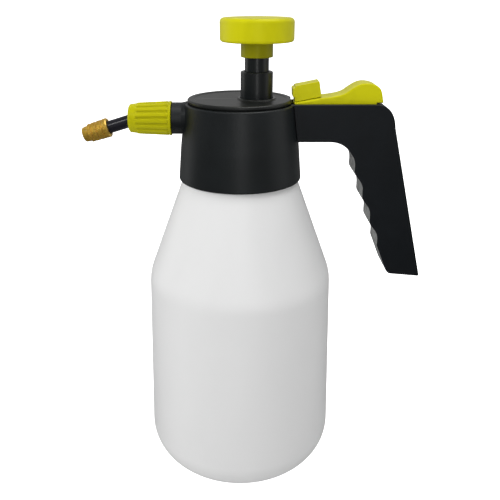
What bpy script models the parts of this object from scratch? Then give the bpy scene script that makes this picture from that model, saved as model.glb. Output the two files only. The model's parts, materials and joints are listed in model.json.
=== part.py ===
"""Hand-pumped pressure sprayer: two-litre bottle, screw-on pump head, pistol handle and bent nozzle.

Sizes in this file are millimetres and become metres through MM. The origin is the centre of the
bottle's flat base, +Z is up, the handle lies along +X and the nozzle along -X.
"""
import math

import bmesh
import bpy
from mathutils import Matrix, Vector

MM = 0.001
GAP = 0.3                    # clearance between pieces that rest on or run in each other
ROUND_BIG = 36               # sides of the bottle and the head
ROUND_MID = 24               # sides of the knob, the pump and the nut
ROUND_SMALL = 16             # sides of the valve and the nozzle pieces
ROUND_TUBE = 8               # sides of hoses and the dip tube

# Bottle
BASE_R = 62.4
SHOULDER_R = 60.0
SHOULDER_Z = 135.6
HEEL_R = 23.0
WALL = 2.0
NECK_R = 28.6
NECK_BORE_R = 26.4
NECK_Z = 226.0
CONE_SLOPE = 0.3636          # radius lost per millimetre of height above the shoulder
CONE_END_Z = 206.0

# Pump head
SKIRT_Z = 200.3
SKIRT_R = 39.0
HEAD_MID_R, HEAD_MID_Z = 37.3, 222.0
HEAD_TOP_R, HEAD_TOP_Z = 35.0, 241.5
HEAD_RIM_R, HEAD_RIM_Z = 32.2, 246.8
HEAD_WALL = 2.2
DECK_LOW, DECK_TOP = 228.5, 231.8
THREAD_R = 29.0              # inside of the ring that screws onto the neck
THREAD_RING_R = 31.6
THREAD_RING_Z = 213.0
CAP_R = 32.7
CAP_Z = 251.2

# Pump, on its own axis beside the bottle's
PUMP_X = 10.3
CYLINDER_R, CYLINDER_BORE_R = 13.0, 11.5
CYLINDER_Z = 112.0
FLANGE_R = 15.5
FLANGE_Z = 233.2
GUIDE_R, GUIDE_BORE_R = 10.0, 7.8
GUIDE_Z = 267.6
ROD_R, ROD_BORE_R = 7.45, 5.9
KNOB_R = 22.2
KNOB_LOW, KNOB_TOP = 285.3, 299.5
KNOB_NECK_R, KNOB_NECK_Z = 9.85, 276.1
PISTON_R, PISTON_Z = 10.9, 129.5

# Handle and trigger
HANDLE_HALF = 11.0
ARM_LOW, ARM_TOP = 226.4, 248.6
SLOT_HALF = 8.5
SLOT_END_X = 84.6
SLOT_FLOOR = 229.4
SCALLOP_TOP = (66.2, 221.9)  # first ridge of the finger grip
SCALLOP_STEP = (5.72, -16.65)
SCALLOP_COUNT = 4
SCALLOP_DEPTH = 2.2
LEVER_HALF = 8.2
LEVER_FRONT_X = 33.3
PIVOT_X, PIVOT_Z = 79.5, 242.5
PIN_R = 2.0
LOCK_HALF = 6.0
LOCK_SLOPE = math.radians(11.3)
NOTCH_X = 30.9

# Spray valve under the trigger
VALVE_X = 44.0
VALVE_LOW, VALVE_TOP = 229.7, 238.5
STEM_R, STEM_BORE_R = 2.0, 3.0
STEM_HEAD_Z = 245.4
PORT_Z = 235.0
PORT_Y = 2.4

# Outlet, bent lance and nozzle
OUTLET_Z = 238.4
BOSS_R, BOSS_X = 9.9, -42.4
SPIGOT_R, SPIGOT_X = 7.6, -54.0
BEND_X = -63.7
LANCE_TILT = math.radians(17.2)
LANCE_R, LANCE_BORE_R = 4.0, 1.6
LANCE_LENGTH = 30.5
NOZZLE_START, NOZZLE_END = 19.6, 36.5
NOZZLE_R = 5.85

# Feed
DIP_X = -14.0
HOSE_R, HOSE_WALL = 2.2, 0.7
DIP_R, DIP_WALL = 3.0, 0.9

BLACK = (0.03, 0.032, 0.034)
LIME = (0.62, 0.62, 0.01)
MILKY = (0.80, 0.80, 0.80)
BRASS = (0.72, 0.48, 0.16)
RUBBER = (0.02, 0.02, 0.02)
CLEAR = (0.70, 0.72, 0.72)
STEEL = (0.60, 0.60, 0.60)


# ---------------------------------------------------------------- helpers

def arc(centre, radius, start, end, steps):
    """Points of a circular arc, angles in degrees."""
    turn = [math.radians(start + (end - start) * i / steps) for i in range(steps + 1)]
    return [(centre[0] + radius * math.cos(a), centre[1] + radius * math.sin(a)) for a in turn]


def bend(start, corner, end, steps):
    """Points of a quadratic curve that rounds a corner."""
    points = []
    for i in range(steps + 1):
        t = i / steps
        a, b, c = (1 - t) ** 2, 2 * t * (1 - t), t * t
        points.append((a * start[0] + b * corner[0] + c * end[0],
                       a * start[1] + b * corner[1] + c * end[1]))
    return points


def smooth_route(points, steps):
    """Catmull-Rom curve through the given points."""
    knots = [Vector(p) for p in points]
    knots = [knots[0] * 2 - knots[1]] + knots + [knots[-1] * 2 - knots[-2]]
    route = []
    for a, b, c, d in zip(knots, knots[1:], knots[2:], knots[3:]):
        for i in range(steps):
            t = i / steps
            route.append(0.5 * (2 * b + (c - a) * t + (2 * a - 5 * b + 4 * c - d) * t ** 2
                                + (3 * b - a - 3 * c + d) * t ** 3))
    return route + [knots[-2]]


def plastic(name, colour, roughness, metallic=0.0):
    """Principled material in one colour."""
    material = bpy.data.materials.new(name)
    material.use_nodes = True
    shader = material.node_tree.nodes["Principled BSDF"]
    shader.inputs["Base Color"].default_value = (*colour, 1.0)
    shader.inputs["Roughness"].default_value = roughness
    shader.inputs["Metallic"].default_value = metallic
    return material


def add_object(name, bm, colour, roughness=0.4, metallic=0.0, place=None):
    """Closes a bmesh into an object with its own material and smooth round faces."""
    bmesh.ops.remove_doubles(bm, verts=bm.verts, dist=0.001 * MM)
    bmesh.ops.recalc_face_normals(bm, faces=bm.faces)
    mesh = bpy.data.meshes.new(name)
    bm.to_mesh(mesh)
    bm.free()
    mesh.shade_smooth()
    mesh.set_sharp_from_angle(angle=math.radians(35))
    obj = bpy.data.objects.new(name, mesh)
    bpy.context.collection.objects.link(obj)
    if place is not None:
        obj.matrix_world = place
    mesh.materials.append(plastic(name, colour, roughness, metallic))
    return obj


def turned_mesh(profile, sides):
    """Bmesh of a profile of (radius, height) points turned about Z; a closed ring joins its ends."""
    bm = bmesh.new()
    verts = [bm.verts.new((r * MM, 0.0, z * MM)) for r, z in profile]
    edges = [bm.edges.new(pair) for pair in zip(verts, verts[1:])]
    if profile[0][0] > 0 or profile[-1][0] > 0:
        edges.append(bm.edges.new((verts[-1], verts[0])))
    bmesh.ops.spin(bm, geom=verts + edges, cent=(0, 0, 0), axis=(0, 0, 1), angle=math.tau,
                   steps=sides, use_merge=True, use_duplicate=False)
    return bm


def turned(name, profile, sides, colour, place=None, **finish):
    """Object turned about Z, or about the Z axis of the matrix given as place."""
    return add_object(name, turned_mesh(profile, sides), colour, place=place, **finish)


def at(x, y, z):
    """Upright placement at a point given in millimetres."""
    return Matrix.Translation(Vector((x, y, z)) * MM)


def along(start, direction):
    """Placement at a point whose Z axis runs along a direction."""
    turn = Vector(direction).to_track_quat("Z", "Y").to_matrix().to_4x4()
    return Matrix.Translation(Vector(start) * MM) @ turn


def slab_mesh(outline, half_width, rounding=0.0):
    """Bmesh of an outline in the XZ plane made solid across Y, its long edges rounded."""
    bm = bmesh.new()
    face = bm.faces.new([bm.verts.new((x * MM, -half_width * MM, z * MM)) for x, z in outline])
    moved = bmesh.ops.extrude_face_region(bm, geom=[face])["geom"]
    far = [v for v in moved if isinstance(v, bmesh.types.BMVert)]
    bmesh.ops.translate(bm, verts=far, vec=(0, 2 * half_width * MM, 0))
    if rounding:
        rim = [e for e in bm.edges if abs(e.verts[0].co.y - e.verts[1].co.y) < 0.01 * MM]
        bmesh.ops.bevel(bm, geom=rim, offset=rounding * MM, segments=2, profile=0.5,
                        affect="EDGES", clamp_overlap=True)
    return bm


def block_mesh(low, high):
    """Bmesh of a box between two corners."""
    bm = bmesh.new()
    bmesh.ops.create_cube(bm, size=1.0)
    size = (Vector(high) - Vector(low)) * MM
    middle = (Vector(high) + Vector(low)) * 0.5 * MM
    bmesh.ops.transform(bm, matrix=Matrix.Translation(middle) @ Matrix.Diagonal((*size, 1.0)),
                        verts=bm.verts)
    return bm


def rod_mesh(radius, length, sides):
    """Bmesh of a plain round bar from the origin up Z."""
    return turned_mesh([(0, 0), (radius, 0), (radius, length), (0, length)], sides)


def carve(target, bm, operation="DIFFERENCE", place=None):
    """Cuts a bmesh out of an object, or joins it on, with a Boolean modifier."""
    label = f"{target.name}_{'cutter' if operation == 'DIFFERENCE' else 'added'}"
    tool = add_object(label, bm, BLACK, place=place)
    tool.hide_render = True
    tool.display_type = "WIRE"
    modifier = target.modifiers.new(label, "BOOLEAN")
    modifier.operation = operation
    modifier.object = tool


def ring(name, inner, outer, low, high, colour, place, sides=ROUND_SMALL):
    """Seal or washer with a crowned outer edge."""
    soft = min(outer - inner, high - low) * 0.3
    profile = [(inner, low), (outer - soft, low), (outer, (low + high) / 2), (outer - soft, high),
               (inner, high)]
    return turned(name, profile, sides, colour, place, roughness=0.7)


def hose(name, points, radius, wall, colour, steps):
    """Flexible tube: a bevelled curve through the points with its wall added inwards."""
    curve = bpy.data.curves.new(name, "CURVE")
    curve.dimensions = "3D"
    curve.bevel_depth = radius * MM
    curve.bevel_resolution = ROUND_TUBE // 2 - 2
    route = smooth_route(points, steps)
    spline = curve.splines.new("POLY")
    spline.points.add(len(route) - 1)
    for point, place in zip(spline.points, route):
        point.co = (*(place * MM), 1.0)
    curve.materials.append(plastic(name, colour, 0.3))
    obj = bpy.data.objects.new(name, curve)
    bpy.context.collection.objects.link(obj)
    shell = obj.modifiers.new("wall", "SOLIDIFY")
    shell.thickness = wall * MM
    shell.offset = -1.0
    return obj


# ---------------------------------------------------------------- bottle

def cone_radius(z):
    """Radius of the bottle's sloping shoulder at a height."""
    return SHOULDER_R - CONE_SLOPE * (z - SHOULDER_Z)


def make_bottle():
    heel = (BASE_R - HEEL_R, HEEL_R)
    edge = 5.5                                     # reach of the rounding at the shoulder
    outside = [(0, 0)] + arc(heel, HEEL_R, -90, 0, 5)
    outside += bend((SHOULDER_R, SHOULDER_Z - edge), (SHOULDER_R, SHOULDER_Z),
                    (cone_radius(SHOULDER_Z + edge), SHOULDER_Z + edge), 3)
    outside += bend((cone_radius(CONE_END_Z), CONE_END_Z), (NECK_R + 2.2, CONE_END_Z + 5.0),
                    (NECK_R, CONE_END_Z + 5.5), 2)
    outside += [(NECK_R, NECK_Z)]
    inside = [(NECK_BORE_R, NECK_Z), (NECK_BORE_R, CONE_END_Z + 3.5),
              (cone_radius(CONE_END_Z) - WALL, CONE_END_Z - 1.0)]
    inside += [(cone_radius(SHOULDER_Z + edge) - WALL, SHOULDER_Z + edge),
               (SHOULDER_R - WALL, SHOULDER_Z - edge)]
    inside += arc(heel, HEEL_R - WALL, 0, -90, 4) + [(0, WALL)]
    turned("bottle", outside + inside, ROUND_BIG, MILKY, roughness=0.35)


# ---------------------------------------------------------------- pump head

def head_wall(offset):
    """Outer curve of the head from skirt to rim, moved out by an offset."""
    return ([(SKIRT_R - 0.9 + offset, SKIRT_Z), (SKIRT_R + offset, SKIRT_Z + 1.2),
             (HEAD_MID_R + offset, HEAD_MID_Z)]
            + bend((HEAD_TOP_R + offset, HEAD_TOP_Z), (HEAD_TOP_R - 0.6 + offset, HEAD_RIM_Z - 0.6),
                   (HEAD_RIM_R + offset, HEAD_RIM_Z), 4))


def make_head():
    shell = head_wall(0.0)
    shell += [(HEAD_RIM_R - HEAD_WALL, HEAD_RIM_Z), (HEAD_TOP_R - HEAD_WALL, HEAD_TOP_Z),
              (HEAD_MID_R - HEAD_WALL - 1.2, DECK_TOP), (0, DECK_TOP)]
    below = [(0, DECK_LOW), (THREAD_R, DECK_LOW), (THREAD_R, THREAD_RING_Z),
             (THREAD_RING_R, THREAD_RING_Z), (THREAD_RING_R, DECK_LOW),
             (HEAD_MID_R - HEAD_WALL - 0.8, DECK_LOW), (HEAD_MID_R - HEAD_WALL, HEAD_MID_Z),
             (SKIRT_R - HEAD_WALL + 0.2, SKIRT_Z)]
    head = turned("head_housing", below + shell, ROUND_BIG, BLACK, roughness=0.45)
    carve(head, rod_mesh(CYLINDER_R + GAP + 0.1, 20.0, ROUND_MID), place=at(PUMP_X, 0, 220.0))
    carve(head, rod_mesh(DIP_R + GAP + 0.1, 20.0, 16), place=at(DIP_X, 0, 220.0))
    carve(head, block_mesh((28.0, -SLOT_HALF, DECK_TOP + 0.2), (40.0, SLOT_HALF, 252.0)))
    root = CAP_R + 2 * GAP                         # the boss starts just outside the top cap
    boss = [(0, root), (BOSS_R, root), (BOSS_R, -BOSS_X - 0.8), (BOSS_R - 0.8, -BOSS_X),
            (SPIGOT_R, -BOSS_X), (SPIGOT_R, -SPIGOT_X - 0.8), (SPIGOT_R - 0.8, -SPIGOT_X),
            (3.2, -SPIGOT_X), (3.2, 37.0), (0, 37.0)]
    outward = along((0, 0, OUTLET_Z), (-1, 0, 0))
    carve(head, turned_mesh(boss, ROUND_MID), "UNION", outward)
    carve(head, rod_mesh(1.3, 6.9, 12), "UNION", along((-27.8, 0, OUTLET_Z), (-1, 0, 0)))
    carve(head, rod_mesh(0.6, 18.0, 8), place=along((-23.0, 0, OUTLET_Z), (-1, 0, 0)))


def make_cap():
    low = HEAD_RIM_Z + GAP
    profile = [(0, low), (HEAD_RIM_R - HEAD_WALL - 2.4, low), (HEAD_RIM_R - HEAD_WALL - 2.4, low - 2),
               (HEAD_RIM_R - HEAD_WALL - 0.5, low - 2), (HEAD_RIM_R - HEAD_WALL - 0.5, low),
               (CAP_R - 0.8, low), (CAP_R, low + 0.9)]
    profile += arc((CAP_R - 1.6, CAP_Z - 1.6), 1.6, 0, 90, 3)
    profile += [(CAP_R - 4.0, CAP_Z - 0.3), (0, CAP_Z - 0.3)]
    cap = turned("top_cap", profile, ROUND_BIG, BLACK, roughness=0.4)
    carve(cap, rod_mesh(GUIDE_R + GAP + 0.1, 20.0, ROUND_MID), place=at(PUMP_X, 0, 240.0))
    carve(cap, block_mesh((26.0, -SLOT_HALF, 240.0), (36.0, SLOT_HALF, low + 0.4)))
    notch = LOCK_HALF + 0.6                        # room for the lock's nose when the lever goes down
    carve(cap, block_mesh((NOTCH_X, -notch, low + 1.2), (40.0, notch, CAP_Z + 2.0)))


def make_gasket():
    ring("neck_gasket", 24.3, 28.3, NECK_Z + GAP, DECK_LOW - GAP, RUBBER, at(0, 0, 0), ROUND_BIG)


# ---------------------------------------------------------------- pump

def make_pump():
    axis = at(PUMP_X, 0, 0)
    floor = CYLINDER_Z + 2.5
    hole = 2.1                                     # hole for the check valve's stem
    cylinder = [(hole, CYLINDER_Z), (CYLINDER_R, CYLINDER_Z), (CYLINDER_R, FLANGE_Z),
                (FLANGE_R, FLANGE_Z), (FLANGE_R, FLANGE_Z + 2.3),
                (CYLINDER_BORE_R, FLANGE_Z + 2.3), (CYLINDER_BORE_R, floor), (hole, floor)]
    barrel = turned("pump_cylinder", cylinder, ROUND_MID, CLEAR, axis, roughness=0.3)
    for i in range(4):
        side = Vector((5.5, 0, 0)) @ Matrix.Rotation(i * math.pi / 2, 3, "Z")
        carve(barrel, rod_mesh(1.3, 10.0, 8), place=at(PUMP_X + side.x, side.y, CYLINDER_Z - 4))
    ring("cylinder_gasket", CYLINDER_R + GAP, FLANGE_R - 0.2, DECK_TOP + GAP, FLANGE_Z - GAP,
         RUBBER, axis, ROUND_MID)
    lip = CYLINDER_Z - GAP
    turned("check_valve", [(0, lip - 3.0), (4.0, lip - 2.6), (8.6, lip - 0.6), (8.6, lip),
                           (1.8, lip), (1.8, floor + GAP), (2.6, floor + GAP),
                           (1.4, floor + 2.6), (0, floor + 2.8)],
           ROUND_SMALL, RUBBER, axis, roughness=0.6)
    seat = FLANGE_Z + 2.3 + GAP
    turned("pump_guide", [(GUIDE_BORE_R, 228.0), (CYLINDER_BORE_R - GAP - 0.1, 228.0),
                          (CYLINDER_BORE_R - GAP - 0.1, seat), (FLANGE_R, seat),
                          (FLANGE_R, seat + 2.4), (GUIDE_R, seat + 2.4), (GUIDE_R, GUIDE_Z - 0.6),
                          (GUIDE_R - 0.6, GUIDE_Z), (GUIDE_BORE_R, GUIDE_Z)],
           ROUND_MID, BLACK, axis, roughness=0.35)
    knob = [(KNOB_NECK_R, KNOB_NECK_Z), (KNOB_NECK_R, KNOB_LOW)]
    knob += arc((KNOB_R - 1.8, KNOB_LOW + 1.8), 1.8, -90, 0, 3)
    knob += arc((KNOB_R - 2.6, KNOB_TOP - 2.6), 2.6, 0, 90, 4)
    knob += [(0, KNOB_TOP), (0, 292.0), (ROD_R + GAP, 292.0), (ROD_R + GAP, KNOB_NECK_Z)]
    turned("pump_knob", knob, ROUND_MID, LIME, axis, roughness=0.35)
    piston_top = PISTON_Z + 12.5
    turned("pump_rod", [(ROD_BORE_R, piston_top + GAP), (ROD_R, piston_top + GAP), (ROD_R, 291.6),
                        (ROD_BORE_R, 291.6)], ROUND_SMALL + 4, BLACK, axis, roughness=0.25)
    groove = (PISTON_Z + 3.5, PISTON_Z + 6.6)
    turned("piston", [(0, PISTON_Z), (PISTON_R - 0.8, PISTON_Z), (PISTON_R, PISTON_Z + 0.8),
                      (PISTON_R, groove[0]), (9.2, groove[0]), (9.2, groove[1]),
                      (PISTON_R, groove[1]), (PISTON_R, piston_top - 3), (ROD_R, piston_top),
                      (ROD_BORE_R - GAP, piston_top), (ROD_BORE_R - GAP, piston_top + 10),
                      (0, piston_top + 10)], ROUND_SMALL + 4, BLACK, axis)
    ring("piston_oring", 9.45, 11.2, groove[0] + GAP, groove[1] - GAP, RUBBER, axis,
         ROUND_SMALL + 4)


# ---------------------------------------------------------------- handle and trigger

def grip_outline():
    """Side outline of the arm and the finger grip, clockwise from the arm's top."""
    outline = [(28.0, ARM_TOP), (84.0, ARM_TOP)]
    outline += bend((86.0, ARM_TOP - 0.2), (94.5, 246.5), (95.6, 234.0), 5)
    outline += [(118.2, 135.5), (117.6, 134.7), (100.5, 136.1)]
    outline += bend((98.2, 136.7), (96.6, 137.4), (95.3, 140.2), 2)
    start, step = Vector(SCALLOP_TOP), Vector(SCALLOP_STEP)
    across = Vector((-step.y, step.x)).normalized()
    parts = 6
    for i in range(SCALLOP_COUNT * parts, 0, -1):
        depth = SCALLOP_DEPTH * math.sin(math.pi * (i % parts) / parts) ** 0.8
        outline.append(tuple(start + step * (i / parts) + across * depth))
    outline += bend((66.6, 221.6), (64.2, ARM_LOW), (58.0, ARM_LOW), 4)
    return outline + [(28.0, ARM_LOW)]


def lever_top():
    """Upper line of the trigger from its front edge to its rounded tail."""
    ramp = [(LEVER_FRONT_X, 0, 249.2), (41.0, 0, 250.6), (50.0, 0, 252.2), (57.5, 0, 253.2),
            (63.5, 0, 254.8), (68.0, 0, 257.8), (72.3, 0, 260.3), (77.0, 0, 261.2),
            (82.6, 0, 260.0), (86.0, 0, 256.8), (87.8, 0, 249.2)]
    return [(p.x, p.z) for p in smooth_route(ramp, 2)]


def make_handle():
    handle = add_object("handle", slab_mesh(grip_outline(), HANDLE_HALF, 1.6), BLACK, 0.5)
    clear = CAP_R + GAP + 0.1
    carve(handle, turned_mesh([(0, 195.0)] + head_wall(GAP + 0.1)
                              + [(clear, HEAD_RIM_Z + 0.1), (clear, 256.0), (0, 256.0)], ROUND_BIG))
    carve(handle, block_mesh((20.0, -SLOT_HALF, SLOT_FLOOR), (SLOT_END_X, SLOT_HALF, 260.0)))
    hollow = [(75.5, 216.0), (94.5, 216.0), (113.5, 130.0), (102.0, 130.0), (92.5, 155.0)]
    carve(handle, slab_mesh(hollow, HANDLE_HALF - 2.6))
    pin_hole = rod_mesh(PIN_R + GAP, 2 * HANDLE_HALF - 1.6, 16)
    carve(handle, pin_hole, place=along((PIVOT_X, -HANDLE_HALF + 0.8, PIVOT_Z), (0, 1, 0)))
    turned("lever_pin", [(0, 0.3), (PIN_R, 0.3), (PIN_R, 20.1), (0, 20.1)], 16, STEEL,
           along((PIVOT_X, -10.2, PIVOT_Z), (0, 1, 0)), roughness=0.3, metallic=1.0)


def make_trigger():
    under = [(83.8, 249.2), (83.8, 239.6), (75.2, 239.6), (73.0, 246.9), (LEVER_FRONT_X, 246.9)]
    lever = add_object("trigger_lever", slab_mesh(lever_top() + under, LEVER_HALF, 0.7), LIME, 0.35)
    carve(lever, rod_mesh(PIN_R + GAP, 30.0, 16),
          place=along((PIVOT_X, -15.0, PIVOT_Z), (0, 1, 0)))
    rise = math.tan(LOCK_SLOPE)

    def lift(x, height):
        """Height above the lever's sloping top, measured at its front."""
        return x, 249.2 + height + (x - LEVER_FRONT_X) * rise

    groove = [lift(35.5, -1.6), lift(50.5, -1.6), lift(50.5, 3.0), lift(35.5, 3.0)]
    carve(lever, slab_mesh(groove, 2.0))
    side = [lift(33.6, 0.45), lift(39.5, 0.45), lift(39.5, -1.3), lift(46.0, -1.3),
            lift(46.0, 0.45), lift(50.0, 0.45), lift(48.4, 9.9), lift(33.9, 9.9),
            lift(33.7, 8.9), lift(32.2, 8.9), lift(32.4, 3.3), lift(33.6, 3.3)]
    lock = add_object("trigger_lock", slab_mesh(side, LOCK_HALF), LIME, 0.35)
    for edge in (-1, 1):
        near, far = sorted((edge * 1.7, edge * (LOCK_HALF + 1)))
        foot = slab_mesh([lift(38.0, -3.0), lift(48.0, -3.0), lift(48.0, 0.45), lift(38.0, 0.45)],
                         (far - near) / 2)
        carve(lock, foot, place=at(0, (near + far) / 2, 0))


# ---------------------------------------------------------------- spray valve and feed

def make_valve():
    axis = at(VALVE_X, 0, 0)
    floor = VALVE_LOW + 1.1
    body = turned("valve_body", [(0, VALVE_LOW), (7.0, VALVE_LOW), (7.0, VALVE_TOP),
                                 (STEM_BORE_R, VALVE_TOP), (STEM_BORE_R, floor), (0, floor)],
                  ROUND_SMALL, BLACK, axis)
    for side in (-1, 1):
        y = side * PORT_Y
        carve(body, rod_mesh(1.3, 7.0, 12), "UNION", along((41.5, y, PORT_Z), (-1, 0, 0)))
        carve(body, rod_mesh(0.6, 12.0, 8), place=along((43.0, y, PORT_Z), (-1, 0, 0)))
    turned("valve_stem", [(0, 234.0), (STEM_R, 234.0), (STEM_R, STEM_HEAD_Z),
                          (4.6, STEM_HEAD_Z), (4.6, STEM_HEAD_Z + 1.0), (0, STEM_HEAD_Z + 1.2)],
           ROUND_SMALL, CLEAR, axis)
    for name, low in (("stem_oring_lower", 234.8), ("stem_oring_upper", 236.7)):
        ring(name, STEM_R + 0.2, STEM_BORE_R - 0.2, low, low + 0.8, RUBBER, axis, 16)
    make_spring()


def make_spring():
    low, high = VALVE_TOP + GAP, STEM_HEAD_Z - GAP
    wire, coil_r, turns, sides = 0.35, 3.4, 4.5, 10
    count = int(turns * sides)
    curve = bpy.data.curves.new("valve_spring", "CURVE")
    curve.dimensions = "3D"
    curve.bevel_depth = wire * MM
    curve.bevel_resolution = 0
    curve.use_fill_caps = True
    spline = curve.splines.new("POLY")
    spline.points.add(count)
    for i, point in enumerate(spline.points):
        angle = math.tau * i / sides
        height = low + wire + (high - low - 2 * wire) * i / count
        point.co = (*(Vector((VALVE_X + coil_r * math.cos(angle), coil_r * math.sin(angle),
                              height)) * MM), 1.0)
    curve.materials.append(plastic("valve_spring", STEEL, 0.3, 1.0))
    spring = bpy.data.objects.new("valve_spring", curve)
    bpy.context.collection.objects.link(spring)


def make_feed():
    elbow_low = DECK_TOP + GAP
    port = 236.5
    elbow = turned("dip_tube_elbow", [(DIP_R + GAP, elbow_low), (4.8, elbow_low), (4.8, 240.0),
                                      (0, 240.0), (0, 238.3), (DIP_R + GAP, 238.3)],
                   ROUND_SMALL, BLACK, at(DIP_X, 0, 0))
    carve(elbow, rod_mesh(1.3, 4.0, 12), "UNION", along((DIP_X, 4.2, port), (0, 1, 0)))
    carve(elbow, rod_mesh(0.6, 9.0, 8), place=along((DIP_X, 2.0, port), (0, 1, 0)))
    feed = [(36.9, PORT_Y, PORT_Z), (34.9, PORT_Y, PORT_Z), (32.3, PORT_Y + 0.9, PORT_Z),
            (29.6, 7.0, PORT_Z), (26.3, 13.2, PORT_Z), (19.0, 20.3, PORT_Z), (8.0, 24.0, PORT_Z),
            (-4.0, 22.5, PORT_Z), (-11.3, 17.0, 236.2), (-13.6, 12.0, port),
            (DIP_X, 8.6, port), (DIP_X, 5.6, port)]
    hose("inlet_hose", feed, HOSE_R, HOSE_WALL, CLEAR, 1)
    spray = [(36.9, -PORT_Y, PORT_Z), (34.9, -PORT_Y, PORT_Z), (32.3, -PORT_Y - 0.9, PORT_Z),
             (29.6, -7.0, PORT_Z + 0.2), (26.3, -13.2, 236.0), (19.0, -20.3, 237.3),
             (8.0, -24.0, OUTLET_Z), (-6.0, -22.0, OUTLET_Z), (-16.0, -14.5, OUTLET_Z),
             (-21.6, -6.5, OUTLET_Z), (-25.2, -0.9, OUTLET_Z), (-28.0, 0.0, OUTLET_Z),
             (-30.5, 0.0, OUTLET_Z)]
    hose("outlet_hose", spray, HOSE_R, HOSE_WALL, CLEAR, 1)
    dip = [(DIP_X, 0, 238.0), (DIP_X, 0, 205.0), (-15.0, 0, 165.0), (-18.0, 0, 110.0),
           (-22.0, 0, 55.0), (-25.0, 0, 20.0), (-25.4, 0, 9.0)]
    hose("dip_tube", dip, DIP_R, DIP_WALL, CLEAR, 2)
    turned("strainer", [(0, 4.0), (5.6, 4.0), (6.0, 4.6), (6.0, 15.0), (DIP_R + GAP, 15.0),
                        (DIP_R + GAP, 8.4), (2.0, 8.4), (2.0, 6.0), (0, 6.0)],
           ROUND_SMALL, BLACK, at(-25.4, 0, 0))


# ---------------------------------------------------------------- nozzle

def make_nut():
    """Ribbed union nut, turned about the outlet's axis, lengths measured outwards."""
    back, front = -BOSS_X + GAP, 71.3
    profile = [(8.0, back), (10.1, back), (10.1, back + 0.6), (8.9, 65.2), (9.0, 66.0), (9.0, 69.2),
               (8.4, 70.6), (7.6, front), (7.0, front), (7.0, 67.6), (7.7, 65.0), (8.0, 60.0)]
    nut = turned("union_nut", profile, ROUND_MID, LIME, along((0, 0, OUTLET_Z), (-1, 0, 0)),
                 roughness=0.35)
    ribs = 16
    start, end = back + 0.4, 65.0
    lean = math.atan2(1.15, end - start)
    for i in range(ribs):
        rib = block_mesh((-0.7, -1.2, 0.0), (0.9, 1.2, end - start))
        turn = Matrix.Rotation(math.tau * i / ribs, 4, "Z")
        tilt = Matrix.Translation(Vector((9.85, 0, start)) * MM) @ Matrix.Rotation(-lean, 4, "Y")
        place = along((0, 0, OUTLET_Z), (-1, 0, 0)) @ turn @ tilt
        carve(nut, rib, "UNION", place)


def make_lance():
    outward = along((0, 0, OUTLET_Z), (-1, 0, 0))
    ring("lance_washer", 3.4, 7.1, -SPIGOT_X + GAP, -SPIGOT_X + 1.7, RUBBER, outward)
    centre, ball = -BEND_X, 7.2
    flange = -SPIGOT_X + 2.0
    profile = [(0, flange), (7.2, flange), (7.2, flange + 1.6), (6.2, flange + 2.4)]
    profile += [(r, z) for r, z in arc((0, centre), ball, -35, 80, 6)] + [(0, centre + ball)]
    lance = turned("lance", profile, ROUND_SMALL, BLACK, outward, roughness=0.3)
    tube = along((BEND_X, 0, OUTLET_Z), lance_direction())
    carve(lance, rod_mesh(LANCE_R, LANCE_LENGTH, ROUND_SMALL), "UNION", tube)
    carve(lance, rod_mesh(LANCE_BORE_R, 40.0, 10), place=tube)
    carve(lance, rod_mesh(LANCE_BORE_R, centre - flange + 6.0, 10),
          place=along((-flange + 5.0, 0, OUTLET_Z), (-1, 0, 0)))


def lance_direction():
    return Vector((-math.cos(LANCE_TILT), 0.0, -math.sin(LANCE_TILT)))


def make_nozzle():
    tube = along((BEND_X, 0, OUTLET_Z), lance_direction())
    start, end = NOZZLE_START, NOZZLE_END
    outside = [(4.5, start), (5.3, start), (NOZZLE_R, start + 0.5)]
    for groove in (start + 5.0, start + 9.4):
        outside += [(NOZZLE_R, groove - 0.4), (NOZZLE_R - 0.4, groove), (NOZZLE_R, groove + 0.4)]
    outside += [(NOZZLE_R, end - 4.2), (5.0, end - 3.7), (4.6, end - 0.5), (4.1, end),
                (1.4, end), (0.8, end - 0.8)]
    inside = [(0.8, end - 3.0), (4.5, end - 3.5), (4.5, start + 9.0), (5.05, start + 8.0),
              (5.05, start + 4.5), (4.5, start + 3.5)]
    turned("nozzle_cap", outside + inside, ROUND_SMALL, BRASS, tube, roughness=0.25,
           metallic=1.0)
    turned("nozzle_core", [(0, 27.0), (1.25, 27.0), (1.25, LANCE_LENGTH + GAP),
                           (3.4, LANCE_LENGTH + GAP), (3.4, LANCE_LENGTH + 0.9), (1.6, 32.0),
                           (0, 32.0)], ROUND_SMALL, BRASS, tube, roughness=0.3, metallic=1.0)
    ring("nozzle_oring", LANCE_R + 0.2, 4.85, start + 5.5, start + 6.5, RUBBER, tube)


for old in list(bpy.data.objects):
    bpy.data.objects.remove(old)
make_bottle()
make_head()
make_cap()
make_gasket()
make_pump()
make_handle()
make_trigger()
make_valve()
make_feed()
make_nut()
make_lance()
make_nozzle()
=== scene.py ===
"""Detailed surfaces, finishes and studio for a two-litre pump sprayer.

Heights and radii are read from the frame, so every piece sits where its solid does. Lengths in the
profiles are millimetres and become metres through MM. The bottle stands on Z = 0 on the Z axis,
the handle lies along +X and the nozzle along -X.
"""

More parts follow.
